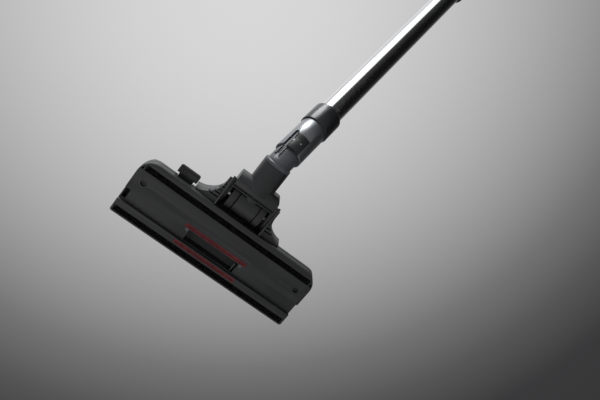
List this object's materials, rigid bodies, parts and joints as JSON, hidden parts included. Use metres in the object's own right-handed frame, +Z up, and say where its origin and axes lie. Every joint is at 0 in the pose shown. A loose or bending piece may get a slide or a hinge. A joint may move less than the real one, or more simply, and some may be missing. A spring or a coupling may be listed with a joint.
{
  "type": "vacuum cleaner floor head with telescopic wand",
  "caption": "Flat suction floor head with bristle and velvet strips, tilting wheeled knuckle, swivelling elbow and a telescopic polished tube wand.",
  "frame": {"origin": "centre of the wand's open top end, where the handle plugs in", "axes": "+Z up with the sole facing -Z, +Y from the head's front edge to its rear, +X across the head"},
  "size_m": [0.2887, 0.6651, 0.5129],
  "materials": {
    "base_plastic": "moulded, fine grain",
    "cover_plastic": "moulded, satin, fine grain",
    "grey_plastic": "moulded, satin",
    "sleeve_satin": "satin grey",
    "collar_satin": "satin near black",
    "polished_steel": "polished tube",
    "zinc": "zinc plated",
    "velvet": "short directional pile",
    "bristle": "stiff nylon bristle",
    "rubber": "soft rubber",
    "tyre": "soft wheel tread",
    "wheel_plastic": "moulded"
  },
  "bodies": {
    "upper_wand": {"upper_tube": "polished_steel", "tail_bush": "grey_plastic", "end_ferrule": "base_plastic"},
    "lower_wand": {"lower_tube": "polished_steel", "wand_collar": "collar_satin", "wand_sleeve": "sleeve_satin", "sleeve_gasket": "rubber", "elbow": "grey_plastic", "latch_pin": "zinc", "lock_housing": "base_plastic", "guide_bush": "grey_plastic", "button_spring": "zinc"},
    "latch": {"latch_lever": "base_plastic", "latch_spring": "zinc"},
    "button": {"slide_button": "grey_plastic"},
    "pawl": {"lock_pawl": "zinc"},
    "neck": {"knuckle": "cover_plastic", "air_drum": "cover_plastic", "swivel_ring": "grey_plastic", "neck_seal": "rubber"},
    "head": {"sole_plate": "base_plastic", "head_cover": "cover_plastic", "air_duct": "base_plastic", "duct_seal": "rubber", "front_lint_strip": "velvet", "rear_lint_strip": "velvet", "lint_strip_studs": "grey_plastic", "base_screws": "zinc", "pedal_shaft": "zinc", "pedal_spring": "zinc", "carriage_springs": "zinc", "hinge_pins": "zinc"},
    "left_roller": {"left_wheel": "wheel_plastic", "left_tyre": "tyre"},
    "right_roller": {"right_wheel": "wheel_plastic", "right_tyre": "tyre"},
    "pedal": {"pedal": "cover_plastic"},
    "brush": {"brush_carriage": "base_plastic", "front_bristle_holder": "base_plastic", "front_bristles": "bristle", "rear_bristle_holder": "base_plastic", "rear_bristles": "bristle"}
  },
  "joints": [
    {"name": "telescope", "type": "slide", "parent": "upper_wand", "child": "lower_wand", "axis": [0.1899, -0.6974, -0.6911], "range_m": [0, 0.25]},
    {"name": "swivel", "type": "hinge", "parent": "lower_wand", "child": "neck", "pos_m": [0.13007, -0.4777, -0.4734], "axis": [0, 0.9954, 0.0958], "range_deg": [-107, 73]},
    {"name": "tilt", "type": "hinge", "parent": "neck", "child": "head", "pos_m": [0.13007, -0.5434, -0.47972], "axis": [1, 0, 0], "range_deg": [0, 55]},
    {"name": "left_wheel_spin", "type": "hinge", "parent": "head", "child": "left_roller", "pos_m": [0.13007, -0.5434, -0.47972], "axis": [1, 0, 0], "continuous": true},
    {"name": "right_wheel_spin", "type": "hinge", "parent": "head", "child": "right_roller", "pos_m": [0.13007, -0.5434, -0.47972], "axis": [1, 0, 0], "continuous": true},
    {"name": "pedal_rock", "type": "hinge", "parent": "head", "child": "pedal", "pos_m": [0.21407, -0.59985, -0.47772], "axis": [-1, 0, 0], "range_deg": [0, 12]},
    {"name": "brush_drop", "type": "slide", "parent": "head", "child": "brush", "axis": [0, 0, -1], "range_m": [0, 0.005], "deforming": ["carriage_springs"]},
    {"name": "latch_press", "type": "hinge", "parent": "lower_wand", "child": "latch", "pos_m": [0.12699, -0.43788, -0.45944], "axis": [0.9563, -0.028, 0.291], "range_deg": [0, 5], "stiffness_Nm_per_rad": 0.3},
    {"name": "button_slide", "type": "slide", "parent": "lower_wand", "child": "button", "axis": [0.1899, -0.6974, -0.6911], "range_m": [0, 0.006], "stiffness_N_per_m": 400},
    {"name": "pawl_lift", "type": "slide", "parent": "lower_wand", "child": "pawl", "axis": [-0.2223, -0.7162, 0.6616], "range_m": [0, 0.0015]}
  ],
  "couplings": [
    {"joint": "brush_drop", "follows": "pedal_rock", "m_per_rad": 0.023873},
    {"joint": "pawl_lift", "follows": "button_slide", "ratio": 0.25}
  ]
}
